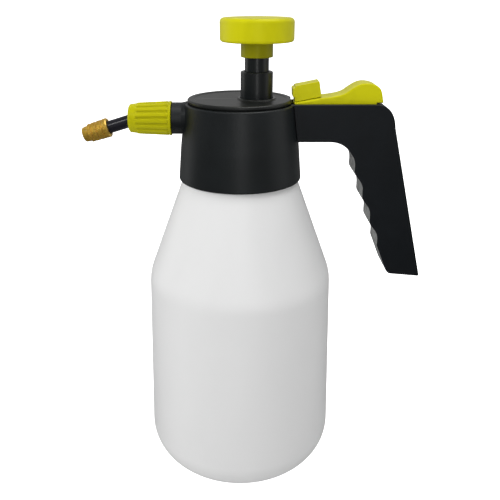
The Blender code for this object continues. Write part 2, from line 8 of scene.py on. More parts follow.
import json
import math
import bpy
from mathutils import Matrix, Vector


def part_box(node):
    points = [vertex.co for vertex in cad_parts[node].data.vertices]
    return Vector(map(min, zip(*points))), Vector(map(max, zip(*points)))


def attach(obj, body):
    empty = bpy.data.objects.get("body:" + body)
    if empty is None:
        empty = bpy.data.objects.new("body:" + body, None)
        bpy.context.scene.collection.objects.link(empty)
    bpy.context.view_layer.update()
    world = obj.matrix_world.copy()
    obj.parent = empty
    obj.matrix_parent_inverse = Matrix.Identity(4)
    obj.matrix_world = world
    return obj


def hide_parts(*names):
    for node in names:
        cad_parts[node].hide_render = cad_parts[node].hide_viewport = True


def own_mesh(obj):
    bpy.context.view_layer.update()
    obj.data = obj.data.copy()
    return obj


bl_info = {
    "name": "Pump Sprayer",
    "version": (1, 0, 0),
    "blender": (4, 5, 0),
    "location": "View3D > Sidebar > Sprayer",
    "description": "Builds the pump sprayer's visible pieces, their finishes and a plain studio",
    "category": "Object",
}

import bmesh
import bpy
from bpy.props import FloatProperty, FloatVectorProperty, IntProperty, PointerProperty
from bpy.types import Operator, Panel, PropertyGroup
from mathutils import Matrix, Vector

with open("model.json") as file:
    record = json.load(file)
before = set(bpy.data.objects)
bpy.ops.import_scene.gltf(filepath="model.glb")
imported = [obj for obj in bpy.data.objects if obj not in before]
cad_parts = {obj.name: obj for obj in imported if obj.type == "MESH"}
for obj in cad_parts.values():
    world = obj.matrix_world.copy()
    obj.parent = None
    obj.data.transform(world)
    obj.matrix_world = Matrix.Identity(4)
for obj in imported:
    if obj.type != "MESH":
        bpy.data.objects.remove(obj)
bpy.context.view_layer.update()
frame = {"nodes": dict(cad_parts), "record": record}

MM = 0.001
SIDES = 128                  # sides of the large turned pieces
SIDES_SMALL = 72             # sides of the small turned pieces
ARC_STEP = math.radians(9)   # turn between two points of a rounded corner
STUDIO_REACH = 12.0          # radius of the floor and the dome round the studio, metres
STUDIO_DROP = 0.0004         # how far the floor lies below the base, metres


# ---------------------------------------------------------------- frame

def node_box(node):
    """Lowest and highest corner of a solid, in millimetres."""
    low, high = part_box(node)
    return low / MM, high / MM


def lance_axis(settings):
    """Where the lance bends, on the outlet's axis, and the direction of its tube."""
    slope = settings.slope
    direction = Vector((-math.cos(slope), 0.0, -math.sin(slope)))
    return Vector((-settings.bend / MM, 0.0, outlet_height())), direction


def outlet_height():
    """Height of the outlet's axis, which the union nut turns about."""
    low, high = node_box("union_nut")
    return (low.z + high.z) / 2


# ---------------------------------------------------------------- shader language

class Number:
    """A shader socket whose arithmetic adds Math nodes."""

    def __init__(self, finish, socket):
        self.finish = finish
        self.socket = socket

    def math(self, operation, *values):
        return self.finish.node("ShaderNodeMath", {"operation": operation}, dict(enumerate(values)))

    def __add__(self, other):
        return self.math("ADD", self, other)

    def __radd__(self, other):
        return self.math("ADD", other, self)

    def __sub__(self, other):
        return self.math("SUBTRACT", self, other)

    def __rsub__(self, other):
        return self.math("SUBTRACT", other, self)

    def __mul__(self, other):
        return self.math("MULTIPLY", self, other)

    def __rmul__(self, other):
        return self.math("MULTIPLY", other, self)

    def __neg__(self):
        return self.math("MULTIPLY", self, -1.0)

    def __abs__(self):
        return self.math("ABSOLUTE", self)


class Nodes:
    """Adds nodes to a tree."""

    def __init__(self, tree):
        self.tree = tree

    def feed(self, socket, value):
        """Sets a socket to a number or a colour, or links it."""
        if isinstance(value, Number):
            self.tree.links.new(value.socket, socket)
        elif socket.type == "RGBA" and len(value) == 3:
            socket.default_value = (*value, 1.0)
        else:
            socket.default_value = value

    def node(self, kind, settings=None, sockets=None, output=0):
        """Adds a node: its settings first, then the values or links of its sockets."""
        node = self.tree.nodes.new(kind)
        for key, value in (settings or {}).items():
            if key == "stops":
                while len(node.color_ramp.elements) < len(value):
                    node.color_ramp.elements.new(1.0)
                for stop, (position, colour) in zip(node.color_ramp.elements, value):
                    stop.position = position
                    stop.color = (*colour, 1.0) if isinstance(colour, tuple) else (colour,) * 3 + (1.0,)
            else:
                setattr(node, key, value)
        for key, value in (sockets or {}).items():
            self.feed(node.inputs[key], value)
        return Number(self, node.outputs[output])

    def step(self, value, low, high):
        """Smooth step from 0 to 1 as a value passes from low to high."""
        return self.node("ShaderNodeMapRange", {"interpolation_type": "SMOOTHSTEP"}, {
            "Value": value, "From Min": low, "From Max": high, "To Min": 0.0, "To Max": 1.0})


class Finish(Nodes):
    """One material: a Principled shader, its constants, and the nodes that vary it."""

    def __init__(self, name, **constants):
        self.material = bpy.data.materials.new(name)
        self.material.use_nodes = True
        super().__init__(self.material.node_tree)
        self.shader = self.tree.nodes["Principled BSDF"]
        self.place = None
        for socket, value in constants.items():
            self.feed(self.shader.inputs[socket.replace("_", " ")], value)

    def where(self):
        """Position in the piece's own frame."""
        if self.place is None:
            self.place = self.node("ShaderNodeTexCoord", output="Object")
        return self.place

    def axis(self, letter):
        """One coordinate of the position, in metres."""
        return self.node("ShaderNodeSeparateXYZ", sockets={0: self.where()}, output="XYZ".index(letter))

    def noise(self, size, detail=2.0, roughness=0.5, stretch=(1.0, 1.0, 1.0), seed=0.0):
        """Noise from 0 to 1 with patches of about the given size in metres."""
        moved = self.node("ShaderNodeMapping", sockets={
            "Vector": self.where(), "Location": (seed, seed * 1.7, seed * 0.6), "Scale": stretch})
        return self.node("ShaderNodeTexNoise", sockets={
            "Vector": moved, "Scale": 1.0 / size, "Detail": detail, "Roughness": roughness})

    def edges(self, low=0.52, high=0.60):
        """1 along convex edges and 0 elsewhere."""
        return self.step(self.node("ShaderNodeNewGeometry", output="Pointiness"), low, high)

    def blend(self, factor, first, second):
        """Mix of two colours."""
        return self.node("ShaderNodeMix", {"data_type": "RGBA"}, {0: factor, 6: first, 7: second}, 2)

    def bump(self, height, depth, under=None, strength=1.0):
        """Bump whose full height is depth metres, over another bump if one is given."""
        sockets = {"Height": height, "Distance": depth, "Strength": strength}
        if under is not None:
            sockets["Normal"] = under
        return self.node("ShaderNodeBump", sockets=sockets)

    def set(self, **sockets):
        """Feeds the shader's own sockets and returns the material."""
        for socket, value in sockets.items():
            self.feed(self.shader.inputs[socket.replace("_", " ")], value)
        return self.material


def tint(colour, factor):
    """A colour made lighter or darker."""
    return tuple(min(c * factor, 1.0) for c in colour[:3])


# ---------------------------------------------------------------- finishes

def milky_finish(settings):
    """Blow-moulded polyethylene: milky, satin, slightly uneven, with a faint parting line."""
    f = Finish("milky_polyethylene", Subsurface_Weight=settings.translucency, Subsurface_Scale=0.004,
               Subsurface_Radius=(1.0, 1.0, 1.0), IOR=1.5)
    thick = f.noise(0.055, 2.0, 0.5, (1.0, 1.0, 0.45))
    cloud = f.noise(0.012, 3.0, 0.55, (1.0, 1.0, 0.5), 3.1)
    skin = f.noise(0.0016, 2.0, 0.5, (1.0, 1.0, 1.0), 7.7)
    seam = 1.0 - f.step(abs(f.axis("Y")), 0.00012, 0.00045)
    scuffs = f.step(f.noise(0.004, 5.0, 0.7, (3.0, 3.0, 0.25), 12.0), 0.66, 0.78)
    colour = f.blend(f.step(thick, 0.3, 0.7), tint(settings.colour, 0.97), tint(settings.colour, 1.015))
    colour = f.blend(scuffs * 0.35, colour, tint(settings.colour, 0.9))
    rough = settings.roughness + 0.10 * (cloud - 0.5) + 0.12 * scuffs
    base = f.bump(seam, 0.00008)
    base = f.bump(cloud, 0.00022, base)
    return f.set(Base_Color=colour, Roughness=rough, Normal=f.bump(skin, 0.00003, base))


def black_finish(name, colour, roughness, grain, seed=0.0):
    """Satin moulded plastic: fine spark texture, faint dust and edges polished by handling."""
    f = Finish(name, IOR=1.46)
    spark = f.noise(0.0007, 2.0, 0.55, seed=seed + 1.0)
    cloud = f.noise(0.02, 3.0, 0.55, seed=seed + 4.0)
    dust = f.step(f.noise(0.0028, 6.0, 0.72, seed=seed + 9.0), 0.63, 0.76)
    worn = f.edges()
    shade = f.blend(f.step(cloud, 0.3, 0.7), tint(colour, 0.88), tint(colour, 1.15))
    shade = f.blend(worn * 0.45, shade, tint(colour, 2.1))
    shade = f.blend(dust * 0.16, shade, (0.10, 0.10, 0.095))
    rough = roughness + 0.10 * (cloud - 0.5) + 0.10 * dust - 0.10 * worn
    return f.set(Base_Color=shade, Roughness=rough, Normal=f.bump(spark, grain))


def grip_finish(settings, arm_low):
    """The handle's satin plastic, smoother where the fingers hold it, with a painted grey highlight on the
    grip's faces turned towards -X.
    """
    f = Finish("satin_black_handle", IOR=1.46, Specular_IOR_Level=0.36)
    spark = f.noise(0.0007, 2.0, 0.55, seed=41.0)
    cloud = f.noise(0.02, 3.0, 0.55, seed=44.0)
    normal = f.node("ShaderNodeTexCoord", output="Normal")
    ahead = f.node("ShaderNodeSeparateXYZ", sockets={0: normal}, output="X")
    # painted highlight: grip faces turned towards -X, below the arm, are mixed towards grey in patches; the
    # same mask also lowers their roughness
    held = f.step(-ahead, 0.5, 0.9) * (1.0 - f.step(f.axis("Z"), arm_low * MM - 0.006, arm_low * MM))
    highlight_patches = 0.6 + 0.4 * f.step(f.noise(0.003, 4.0, 0.6, seed=47.0), 0.35, 0.65)
    worn = f.edges()
    shade = f.blend(f.step(cloud, 0.3, 0.7), tint(settings.colour, 0.88), tint(settings.colour, 1.15))
    shade = f.blend(worn * 0.3, shade, tint(settings.colour, 2.1))
    # painted highlight mixed into the grip's colour
    shade = f.blend(held * highlight_patches, shade, settings.rubbed[:3])
    rough = settings.roughness + 0.10 * (cloud - 0.5) - 0.10 * worn - 0.16 * held
    return f.set(Base_Color=shade, Roughness=rough, Normal=f.bump(spark, 0.00004))


def gloss_finish(name, colour, roughness, seed=0.0):
    """Polished black plastic with fine lengthwise wiping marks."""
    f = Finish(name, IOR=1.5, Coat_Weight=0.1, Coat_Roughness=0.1)
    wiped = f.noise(0.0012, 4.0, 0.6, (1.0, 1.0, 0.06), seed + 2.0)
    smear = f.noise(0.009, 3.0, 0.5, (1.0, 1.0, 0.5), seed + 5.0)
    marks = f.step(wiped, 0.55, 0.75)
    shade = f.blend(marks * 0.3, colour[:3], tint(colour, 2.0))
    rough = roughness + 0.08 * marks + 0.10 * (smear - 0.4)
    return f.set(Base_Color=shade, Roughness=rough, Normal=f.bump(wiped, 0.000012))


def lime_finish(settings, name="lime_plastic", seed=0.0, tone=1.0, painted_shade_below=None,
                hollow_shade=0.0):
    """Yellow-green moulded plastic: flow marks, soft gloss, painted shade in hollows, painted shadow below a
    height.
    """
    f = Finish(name, IOR=1.47, Specular_Tint=(1.0, 0.96, 0.25), Subsurface_Weight=0.06,
               Subsurface_Scale=0.002, Subsurface_Radius=(1.0, 0.9, 0.1))
    flow = f.noise(0.016, 3.0, 0.5, (1.0, 1.0, 0.5), seed + 1.5)
    skin = f.noise(0.0009, 2.0, 0.5, seed=seed + 3.5)
    scuffs = f.step(f.noise(0.003, 6.0, 0.7, (1.0, 1.0, 0.4), seed + 8.0), 0.64, 0.78)
    worn = f.edges()
    colour = tint(settings.colour, tone)
    shade = f.blend(f.step(flow, 0.3, 0.7), tint(colour, 0.93), tint(colour, 1.05))
    shade = f.blend(worn * 0.35, shade, settings.edge_colour[:3])
    shade = f.blend(scuffs * 0.22, shade, tint(colour, 0.72))
    # painted shade: hollows (low pointiness, such as the nut's rib valleys) are darkened towards a dark lime
    if hollow_shade:
        hollows = 1.0 - f.edges(0.44, 0.50)
        shade = f.blend(hollows * hollow_shade, shade, tint(colour, 0.42))
    # painted shadow: everything below the given height, such as the knob's neck under its plate, is darkened
    # towards near black
    if painted_shade_below is not None:
        under = 1.0 - f.step(f.axis("Z"), (painted_shade_below - 0.4) * MM, (painted_shade_below + 0.4) * MM)
        shade = f.blend(under * 0.62, shade, tint(colour, 0.12))
    rough = settings.roughness + 0.12 * (flow - 0.5) + 0.14 * scuffs
    return f.set(Base_Color=shade, Roughness=rough, Normal=f.bump(skin, 0.000035))


def brass_finish(settings):
    """Turned brass: tool rings along the axis, warm tarnish in the grooves, bright edges."""
    f = Finish("turned_brass", Metallic=0.8, IOR=1.5)
    rings = f.noise(0.0004, 3.0, 0.6, (0.02, 0.02, 1.0), 2.0)
    blotch = f.noise(0.0024, 4.0, 0.6, seed=6.0)
    hollows = 1.0 - f.edges(0.42, 0.495)
    worn = f.edges(0.52, 0.58)
    shade = f.blend(f.step(blotch, 0.35, 0.68), settings.brass[:3], tint(settings.brass, 0.74))
    shade = f.blend(hollows * 0.65, shade, settings.tarnish[:3])
    shade = f.blend(worn * 0.7, shade, settings.bright[:3])
    rough = 0.24 + 0.22 * (blotch - 0.4) + 0.16 * hollows + 0.08 * rings
    return f.set(Base_Color=shade, Roughness=rough, Normal=f.bump(rings, 0.00004))


def steel_finish():
    """Drawn stainless steel with fine lengthwise lines."""
    f = Finish("drawn_steel", Metallic=1.0)
    lines = f.noise(0.0003, 4.0, 0.6, (1.0, 0.05, 1.0))
    stain = f.noise(0.003, 3.0, 0.6, seed=4.0)
    shade = f.blend(stain, (0.58, 0.58, 0.57), (0.70, 0.70, 0.69))
    return f.set(Base_Color=shade, Roughness=0.22 + 0.18 * lines, Normal=f.bump(lines, 0.00001))


def rubber_finish():
    """Black nitrile rubber: dull, faintly mottled, with moulding grain."""
    f = Finish("nitrile_rubber", IOR=1.5)
    grain = f.noise(0.0004, 3.0, 0.6)
    bloom = f.step(f.noise(0.003, 4.0, 0.6, seed=5.0), 0.5, 0.75)
    shade = f.blend(bloom * 0.4, (0.016, 0.016, 0.017), (0.05, 0.05, 0.052))
    return f.set(Base_Color=shade, Roughness=0.62 + 0.2 * bloom, Normal=f.bump(grain, 0.00003))


def natural_finish(name, colour, clear):
    """Unpigmented polypropylene or clear hose: cloudy, lightly see-through, glossy."""
    f = Finish(name, IOR=1.49, Transmission_Weight=clear, Subsurface_Weight=0.15,
               Subsurface_Scale=0.002)
    cloud = f.noise(0.006, 3.0, 0.55, (1.0, 1.0, 0.4))
    skin = f.noise(0.0012, 2.0, 0.5, seed=3.0)
    shade = f.blend(cloud, tint(colour, 0.9), tint(colour, 1.06))
    return f.set(Base_Color=shade, Roughness=0.22 + 0.16 * cloud, Normal=f.bump(skin, 0.00003))


# ---------------------------------------------------------------- mesh helpers

def rounded(corners, closed=False):
    """Points through corners (x, y) or (x, y, radius), each corner rounded by its radius."""
    points = []
    count = len(corners)
    for i, corner in enumerate(corners):
        here = Vector(corner[:2])
        radius = corner[2] if len(corner) > 2 else 0.0
        if not radius or (not closed and i in (0, count - 1)):
            points.append(tuple(here))
            continue
        back = Vector(corners[i - 1][:2]) - here
        ahead = Vector(corners[(i + 1) % count][:2]) - here
        half = back.normalized().angle(ahead.normalized()) / 2
        if half > math.pi / 2 - 0.004:
            points.append(tuple(here))
            continue
        reach = min(radius / math.tan(half), 0.48 * back.length, 0.48 * ahead.length)
        radius = reach * math.tan(half)
        centre = here + (back.normalized() + ahead.normalized()).normalized() * radius / math.sin(half)
        first = here + back.normalized() * reach - centre
        last = here + ahead.normalized() * reach - centre
        sweep = math.pi - 2 * half
        steps = max(2, math.ceil(sweep / ARC_STEP))
        for k in range(steps + 1):
            t = k / steps
            mixed = first * math.sin((1 - t) * sweep) + last * math.sin(t * sweep)
            points.append(tuple(centre + mixed / math.sin(sweep)))
    return points


def bend(start, corner, end, steps):
    """Points of a quadratic curve that rounds a corner."""
    points = []
    for i in range(steps + 1):
        t = i / steps
        a, b, c = (1 - t) ** 2, 2 * t * (1 - t), t * t
        points.append((a * start[0] + b * corner[0] + c * end[0],
                       a * start[1] + b * corner[1] + c * end[1]))
    return points


def smooth_route(knots, steps):
    """Catmull-Rom curve through points of two coordinates."""
    knots = [Vector(k) for k in knots]
    knots = [knots[0] * 2 - knots[1]] + knots + [knots[-1] * 2 - knots[-2]]
    route = []
    for a, b, c, d in zip(knots, knots[1:], knots[2:], knots[3:]):
        for i in range(steps):
            t = i / steps
            route.append(tuple(0.5 * (2 * b + (c - a) * t + (2 * a - 5 * b + 4 * c - d) * t ** 2
                                      + (3 * b - a - 3 * c + d) * t ** 3)))
    return route + [tuple(knots[-2])]


def at(x, y, z):
    """Upright placement at a point given in millimetres."""
    return Matrix.Translation(Vector((x, y, z)) * MM)


def along(start, direction):
    """Placement at a point whose Z axis runs along a direction."""
    turn = Vector(direction).to_track_quat("Z", "Y").to_matrix().to_4x4()
    return Matrix.Translation(Vector(start) * MM) @ turn


def turned_mesh(profile, sides=SIDES):
    """Bmesh of (radius, height) points turned about Z; a closed ring joins its ends."""
    bm = bmesh.new()
    verts = [bm.verts.new((r * MM, 0.0, z * MM)) for r, z in profile]
    edges = [bm.edges.new(pair) for pair in zip(verts, verts[1:])]
    if profile[0][0] > 0 or profile[-1][0] > 0:
        edges.append(bm.edges.new((verts[-1], verts[0])))
    bmesh.ops.spin(bm, geom=verts + edges, cent=(0, 0, 0), axis=(0, 0, 1), angle=math.tau,
                   steps=sides, use_merge=True, use_duplicate=False)
    return bm


def relief_mesh(profile, sides, relief):
    """Turned bmesh whose radius changes with the angle and height through relief(angle, r, z)."""
    bm = bmesh.new()
    rings = []
    for r, z in profile:
        ring = []
        for i in range(sides):
            angle = math.tau * i / sides
            radius = r + relief(angle, r, z)
            ring.append(bm.verts.new((radius * MM * math.cos(angle), radius * MM * math.sin(angle),
                                      z * MM)))
        rings.append(ring)
    for lower, upper in zip(rings, rings[1:] + rings[:1]):
        for i in range(sides):
            j = (i + 1) % sides
            bm.faces.new((lower[i], lower[j], upper[j], upper[i]))
    return bm


def slab_mesh(outline, half_width, rounding=0.0, segments=5):
    """Bmesh of an outline in the XZ plane made solid across Y, its long edges rounded."""
    bm = bmesh.new()
    face = bm.faces.new([bm.verts.new((x * MM, -half_width * MM, z * MM)) for x, z in outline])
    moved = bmesh.ops.extrude_face_region(bm, geom=[face])["geom"]
    far = [v for v in moved if isinstance(v, bmesh.types.BMVert)]
    bmesh.ops.translate(bm, verts=far, vec=(0, 2 * half_width * MM, 0))
    if rounding:
        rim = [e for e in bm.edges if abs(e.verts[0].co.y - e.verts[1].co.y) < 0.01 * MM]
        bmesh.ops.bevel(bm, geom=rim, offset=rounding * MM, segments=segments, profile=0.5,
                        affect="EDGES", clamp_overlap=True)
    return bm


def box_mesh(low, high):
    """Bmesh of a cutter box between two corners."""
    bm = bmesh.new()
    bmesh.ops.create_cube(bm, size=1.0)
    size = (Vector(high) - Vector(low)) * MM
    middle = (Vector(high) + Vector(low)) * 0.5 * MM
    bmesh.ops.transform(bm, matrix=Matrix.Translation(middle) @ Matrix.Diagonal((*size, 1.0)),
                        verts=bm.verts)
    return bm


def bar_mesh(radius, length, sides=48):
    """Bmesh of a round bar from the origin up Z."""
    return turned_mesh([(0, 0), (radius, 0), (radius, length), (0, length)], sides)


def coil_mesh(radius, wire, turns, height, steps=28, sides=10):
    """Bmesh of a helical spring standing on the origin, its wire ends closed."""
    bm = bmesh.new()
    rings = []
    count = round(turns * steps)
    for i in range(count + 1):
        angle = math.tau * i / steps
        middle = Vector((radius * math.cos(angle), radius * math.sin(angle),
                         wire + (height - 2 * wire) * i / count))
        outward = Vector((math.cos(angle), math.sin(angle), 0.0))
        rings.append([bm.verts.new((middle + wire * (outward * math.cos(math.tau * k / sides)
                                                     + Vector((0, 0, math.sin(math.tau * k / sides)))))
                                   * MM) for k in range(sides)])
    for lower, upper in zip(rings, rings[1:]):
        for k in range(sides):
            j = (k + 1) % sides
            bm.faces.new((lower[k], lower[j], upper[j], upper[k]))
    bm.faces.new(rings[0])
    bm.faces.new(rings[-1])
    return bm


def to_object(name, bm, place=None):
    """Links a bmesh as an object, its normals facing out."""
    bmesh.ops.remove_doubles(bm, verts=bm.verts, dist=0.001 * MM)
    bmesh.ops.recalc_face_normals(bm, faces=bm.faces)
    mesh = bpy.data.meshes.new(name)
    bm.to_mesh(mesh)
    bm.free()
    obj = bpy.data.objects.new(name, mesh)
    bpy.context.scene.collection.objects.link(obj)
    if place is not None:
        obj.matrix_world = place
    return obj


def combine(target, bm, operation, place=None):
    """Cuts a bmesh from a piece or joins it on, and applies the result to the piece's mesh."""
    tool = to_object(target.name + "_tool", bm, place)
    modifier = target.modifiers.new("combine", "BOOLEAN")
    modifier.operation = operation
    modifier.object = tool
    bpy.context.view_layer.update()
    graph = bpy.context.evaluated_depsgraph_get()
    result = bpy.data.meshes.new_from_object(target.evaluated_get(graph))
    target.modifiers.clear()
    old = target.data
    target.data = result
    bpy.data.meshes.remove(old)
    used = tool.data
    bpy.data.objects.remove(tool)
    bpy.data.meshes.remove(used)


def finish_piece(obj, material, body, slot, *nodes, crease=32.0, soften=0.0):
    """Smooths a piece, gives it its finish and joins it to its body in place of its solids."""
    mesh = obj.data
    mesh.materials.clear()
    mesh.materials.append(material)
    mesh.shade_smooth()
    mesh.set_sharp_from_angle(angle=math.radians(crease))
    if soften:
        bevel = obj.modifiers.new("soft_edges", "BEVEL")
        bevel.width = soften * MM
        bevel.segments = 3
        bevel.limit_method = "ANGLE"
        bevel.angle_limit = math.radians(crease)
    normals = obj.modifiers.new("even_normals", "WEIGHTED_NORMAL")
    normals.keep_sharp = True
    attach(obj, body)
    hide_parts(*nodes)
    return obj


def refinish(node, material):
    """Gives a kept solid a detailed finish."""
    mesh = frame["nodes"][node].data
    mesh.materials.clear()
    mesh.materials.append(material)


# ---------------------------------------------------------------- settings

def length(name, description, default):
    """Length property given in millimetres and kept in metres."""
    return FloatProperty(name=name, description=description, default=default * MM, min=0.0,
                         unit="LENGTH")


def share(name, description, default):
    """Property from 0 to 1."""
    return FloatProperty(name=name, description=description, default=default, min=0.0, max=1.0,
                         subtype="FACTOR")


def swatch(name, description, default):
    """Colour property."""
    return FloatVectorProperty(name=name, description=description, default=default, size=3,
                               min=0.0, max=1.0, subtype="COLOR")


class BottleSettings(PropertyGroup):
    heel: length("Heel radius", "Rounding between the wall and the base", 23.0)
    wall: length("Wall", "Thickness of the moulded wall", 2.0)
    taper: length("Taper", "Radius lost from the base to the shoulder", 2.4)
    shoulder: length("Shoulder height", "Height where the wall turns into the cone", 135.6)
    shoulder_round: length("Shoulder rounding", "Radius of the bend at the shoulder", 30.0)
    colour: swatch("Colour", "Colour of the milky plastic", (0.93, 0.932, 0.93))
    translucency: share("Translucency", "Share of light that goes through the skin", 0.25)
    roughness: share("Roughness", "Roughness of the bottle's skin", 0.42)


class HeadSettings(PropertyGroup):
    wall: length("Wall", "Thickness of the head's shell", 2.2)
    hem: length("Hem rounding", "Rounding of the skirt's lower edge", 1.3)
    groove: length("Groove", "Height of the shadow groove under the cap", 1.7)
    colour: swatch("Head colour", "Colour of the satin black plastic", (0.0055, 0.0078, 0.0088))
    cap_colour: swatch("Cap colour", "Colour of the cap", (0.0085, 0.0100, 0.0094))
    roughness: share("Roughness", "Roughness of the satin plastic", 0.42)


class PumpSettings(PropertyGroup):
    guide_edge: length("Guide edge", "Rounding of the guide's mouth", 0.7)
    knob_top: length("Knob top rounding", "Rounding of the knob's upper edge", 2.6)
    knob_low: length("Knob lower rounding", "Rounding of the knob's lower edge", 1.8)
    colour: swatch("Rod colour", "Colour of the polished rod and guide", (0.004, 0.006, 0.0068))
    roughness: share("Roughness", "Roughness of the polished plastic", 0.3)


class HandleSettings(PropertyGroup):
    rounding: length("Edge rounding", "Rounding of the handle's long edges", 1.6)
    scallops: IntProperty(name="Finger hollows", description="Hollows along the finger grip",
                          default=4, min=1, max=8)
    scallop_depth: length("Hollow depth", "Depth of each finger hollow", 2.2)
    colour: swatch("Colour", "Colour of the handle", (0.0032, 0.0052, 0.0076))
    # colour of the painted grey highlight on the grip's faces turned towards -X
    rubbed: swatch("Rubbed colour", "Colour of the finger grip where it is rubbed", (0.42, 0.43, 0.42))
    roughness: share("Roughness", "Roughness of the handle", 0.46)


class LimeSettings(PropertyGroup):
    colour: swatch("Colour", "Colour of the knob, trigger, lock and union nut", (0.65, 0.625, 0.003))
    edge_colour: swatch("Edge colour", "Colour of worn edges", (0.72, 0.72, 0.05))
    roughness: share("Roughness", "Roughness of the coloured plastic", 0.36)
    lever_edge: length("Lever edge", "Rounding of the trigger's long edges", 0.9)
    ribs: IntProperty(name="Ribs", description="Ribs around the union nut", default=16, min=6,
                      max=32)


class NozzleSettings(PropertyGroup):
    bend: length("Bend", "Distance of the lance's bend from the bottle's axis", 63.7)
    slope: FloatProperty(name="Slope", description="How far the lance drops below level",
                         default=math.radians(17.2), min=0.0, max=math.pi / 2, subtype="ANGLE")
    teeth: IntProperty(name="Knurl teeth", description="Teeth of the knurl around the nozzle",
                       default=36, min=12, max=72)
    knurl: length("Knurl depth", "Depth of the nozzle's knurl", 0.16)
    lance_colour: swatch("Lance colour", "Colour of the polished lance", (0.009, 0.009, 0.014))
    brass: swatch("Brass", "Colour of clean brass", (0.88, 0.54, 0.07))
    bright: swatch("Bright brass", "Colour of rubbed edges", (1.0, 0.90, 0.52))
    tarnish: swatch("Tarnish", "Colour of brass in the grooves", (0.22, 0.09, 0.015))


class StageSettings(PropertyGroup):
    camera_place: FloatVectorProperty(name="Camera place", description="Where the camera stands",
                                      default=(0.0, -0.387076, 0.314977), size=3,
                                      subtype="TRANSLATION", unit="LENGTH")
    camera_tilt: FloatProperty(name="Camera tilt", description="How far the camera looks down",
                               default=0.31, subtype="ANGLE")
    lens: FloatProperty(name="Lens", description="Focal length in millimetres", default=44.957,
                        min=10.0)
    shift_x: FloatProperty(name="Shift across", description="Sideways lens shift", default=0.02)
    shift_y: FloatProperty(name="Shift up", description="Upward lens shift", default=-0.12)
    key: FloatProperty(name="Key light", description="Power of the large left light", default=6.8,
                       min=0.0, unit="POWER")
    bounce: FloatProperty(name="Bounce", description="Light thrown back up by the pale table",
                          default=0.68, min=0.0)
    glint: FloatProperty(name="Glint light", description="Power of the small light for highlights",
                         default=0.8, min=0.0, unit="POWER")
    rim: FloatProperty(name="Rim lights", description="Power of the lights reflected at the sides",
                       default=1.25, min=0.0, unit="POWER")
    strip: FloatProperty(name="Strip light", description="Power of the narrow front light",
                         default=1.6, min=0.0, unit="POWER")
    top: FloatProperty(name="Top light", description="Power of the light overhead", default=8.0,
                       min=0.0, unit="POWER")
    ambient: FloatProperty(name="Ambient", description="Strength of the light all round",
                           default=0.25, min=0.0)
    glow: FloatProperty(name="Back glow", description="Added strength of the wall behind",
                        default=0.22, min=0.0)


SETTINGS = {
    "sprayer_bottle": BottleSettings,
    "sprayer_head": HeadSettings,
    "sprayer_pump": PumpSettings,
    "sprayer_handle": HandleSettings,
    "sprayer_lime": LimeSettings,
    "sprayer_nozzle": NozzleSettings,
    "sprayer_stage": StageSettings,
}


# ---------------------------------------------------------------- pieces

class SPRAYER_OT_bottle(Operator):
    """Turn the bottle: recessed base, round heel, tapered wall, cone and neck"""
    bl_idname = "sprayer.bottle"
    bl_label = "Bottle"

    def execute(self, context):
        s = context.scene.sprayer_bottle
        _, high = node_box("bottle")
        base, neck_z = high.y, high.z
        heel, wall = s.heel / MM, s.wall / MM
        shoulder_r, shoulder_z = base - s.taper / MM, s.shoulder / MM
        cone_r, cone_z = 34.4, 206.0
        neck_r = 28.6
        shoulder_round = s.shoulder_round / MM
        corners = [(0, 2.2), (31.0, 2.0, 6.0), (35.0, 0.0, 3.0), (base - heel + 1.0, 0.0, 1.0)]
        outside = rounded(corners + [(base - heel + 1.2, 0.0)])[:-1]
        centre = (base - heel, heel)
        for k in range(1, 25):
            angle = math.radians(-90 + 90 * k / 24)
            outside.append((centre[0] + heel * math.cos(angle), centre[1] + heel * math.sin(angle)))
        outside += rounded([(base, heel), (shoulder_r, shoulder_z, shoulder_round), (cone_r, cone_z, 2.5),
                            (neck_r, cone_z + 5.5, 2.0), (neck_r, neck_z - 0.2, 0.4),
                            (neck_r - 1.0, neck_z - 0.2)])[1:]
        bore = neck_r - 2.2
        inside = rounded([(bore, neck_z - 0.2, 0.4), (bore, cone_z + 3.5, 2.0),
                          (cone_r - wall, cone_z - 1.0, 2.0), (shoulder_r - wall, shoulder_z, shoulder_round),
                          (base - wall, heel)])
        for k in range(1, 13):
            angle = math.radians(-90 * k / 12)
            inside.append((centre[0] + (heel - wall) * math.cos(angle),
                           centre[1] + (heel - wall) * math.sin(angle)))
        inside += rounded([(centre[0], wall), (34.0, wall, 2.0), (30.0, wall + 2.4, 3.0),
                           (0, wall + 2.4)])[1:]
        bottle = to_object("bottle_skin", turned_mesh(outside + inside, 160))
        finish_piece(bottle, milky_finish(s), "bottle", "milky_plastic", "bottle")
        return {"FINISHED"}


